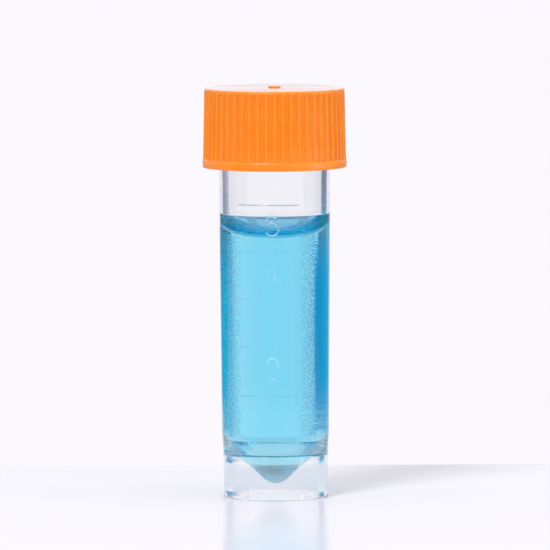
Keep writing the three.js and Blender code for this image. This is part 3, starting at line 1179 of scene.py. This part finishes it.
def pale_table():
    """Pale glossy paper, that gives its own light where it is seen through glass: painted light under
    the vial, greyer behind it as painted shade.
    """
    material, shader = new_material("pale_table")
    place = shader.place()
    y = shader.split(place)["Y"]
    cloud = shader.noise(place, TABLE_CLOUD, 2)
    shader.surface({
        "Base Color": TABLE_COLOUR,
        "Roughness": shader.ramp(cloud, NOISE_LOW, NOISE_HIGH, 0.14, 0.17),
        "IOR": 1.1,
    })
    glow = shader.glow(shader.mix(shader.ramp(y, SHADE_START, SHADE_END), PAINTED_LIGHT_UNDER, TABLE_PAINTED_SHADE))
    share = shader.product(shader.output("Is Transmission Ray"), TABLE_PAINTED_GLOW)
    paper = shader.nodes["Principled BSDF"].outputs["BSDF"]
    mixed = shader.mix_shaders(share, paper, glow)
    shader.links.new(mixed, shader.nodes["Material Output"].inputs["Surface"])
    return material


def table_top():
    bpy.ops.object.select_all(action="DESELECT")
    bpy.ops.mesh.primitive_plane_add(size=1)
    table = bpy.context.object
    table.name = "table_top"
    table.scale = (2 * TABLE_HALF_WIDTH, TABLE_BACK - TABLE_FRONT, 1)
    table.location = (0, (TABLE_BACK + TABLE_FRONT) / 2, 0)
    bpy.ops.object.transform_apply(location=True, rotation=True, scale=True)
    table.data.materials.append(pale_table())


def curved_sheet(name, radius, foot, top, reach, side):
    """Part of an upright cylinder, as far as reach to each side of straight behind the vial when
    side is 1, or straight in front of it when side is -1."""
    bpy.ops.object.select_all(action="DESELECT")
    bpy.ops.mesh.primitive_cylinder_add(
        vertices=SHEET_FACETS,
        radius=radius,
        depth=top - foot,
        end_fill_type="NOTHING",
        location=(0, 0, (top + foot) / 2),
    )
    sheet = bpy.context.object
    sheet.name = name
    bpy.ops.object.mode_set(mode="EDIT")
    bpy.ops.mesh.select_all(action="SELECT")
    bpy.ops.mesh.bisect(
        plane_co=(0, side * radius * math.cos(reach), 0),
        plane_no=(0, -side, 0),
        clear_outer=True,
    )
    leave_edit()
    bpy.ops.object.transform_apply(location=True, rotation=True, scale=True)
    sheet.visible_camera = False
    sheet.visible_diffuse = False
    sheet.visible_shadow = False
    return sheet


def glowing_material(name, make_colour):
    """A material that only gives light, in the colour that a function makes from its nodes."""
    material, shader = new_material(name)
    shader.nodes.clear()
    out = shader.nodes.new("ShaderNodeOutputMaterial")
    shader.links.new(shader.glow(make_colour(shader)), out.inputs["Surface"])
    return material


def surround_painted_shade(shader):
    """The surround's colour, by the part of the vial that shows it and by its side: painted shade seen
    through the walls.
    """
    x, y, z = shader.split(shader.place())
    turned = shader.math("ARCTAN2", x, y)
    share = shader.math("MULTIPLY_ADD", turned, 1 / (2 * SURROUND_REACH), 0.5)
    middle = shader.mix(
        shader.ramp(z, LIQUID_SEEN_TO, NECK_SEEN_FROM),
        shader.colour_band(share, BESIDE_LIQUID),
        shader.colour_band(share, BESIDE_NECK),
    )
    in_middle = shader.product(
        shader.ramp(z, FOOT_SEEN_TO, BODY_SEEN_FROM),
        shader.ramp(z, TOP_SEEN_FROM, TOP_SEEN_FROM + TOP_BLEND, 1, 0),
    )
    at_ends = shader.math("SUBTRACT", 1, in_middle)
    return shader.mix(at_ends, middle, shader.colour_band(share, BESIDE_ENDS))


def surround():
    """A glowing curved sheet behind the vial, seen only in glass and gloss: pale in its middle, with
    painted shade, deep blue and grey, at its sides."""
    sheet = curved_sheet(
        "surround", SURROUND_RADIUS, SURROUND_FOOT, SURROUND_TOP, SURROUND_REACH, 1)
    sheet.data.materials.append(glowing_material("surround", surround_painted_shade))


def front_flag():
    """A dark sheet in front, seen only in gloss: a painted dark reflection, so that the clear walls
    keep their depth of colour.
    """
    flag = curved_sheet(
        "front_flag", FLAG_RADIUS, FLAG_GAP, FLAG_GAP + FLAG_HEIGHT, FLAG_REACH, -1)
    flag.data.materials.append(glowing_material("front_flag", lambda shader: FLAG_REFLECTION_GREY))
    flag.visible_transmission = False


# ---- the scene ----

place_camera()

tube = model_tube()
plastics = [clear_plastic(), wetted_plastic(), numeral_plastic()]
finish_piece(tube, plastics, "tube", "vial")
sort_faces(tube)

liquid = turned_piece("blue_sample", liquid_outline(), TUBE_STEPS)
smooth(liquid, ROUND_EDGE)
finish_piece(liquid, [blue_water()], "sample_liquid", "vial")

washer = turned_piece("silicone_washer", washer_outline(), TUBE_STEPS)
smooth(washer, ROUND_EDGE)
finish_piece(washer, [washer_silicone()], "seal_washer", "seal")

finish_piece(model_cap(), [orange_plastic()], "cap", "cap")

bpy.context.scene.view_settings.view_transform = "Standard"
bpy.context.scene.cycles.max_bounces = GLASS_BOUNCES
bpy.context.scene.cycles.transmission_bounces = GLASS_BOUNCES
bpy.context.scene.cycles.glossy_bounces = GLASS_BOUNCES
light_world()
area_lamp("key", azimuth=-28, elevation=48, size=0.75, power=45)
area_lamp("panel", azimuth=38, elevation=22, size=1.3, power=9)
area_lamp("fill", azimuth=75, elevation=12, size=1.0, power=16)
table_top()
surround()
front_flag()
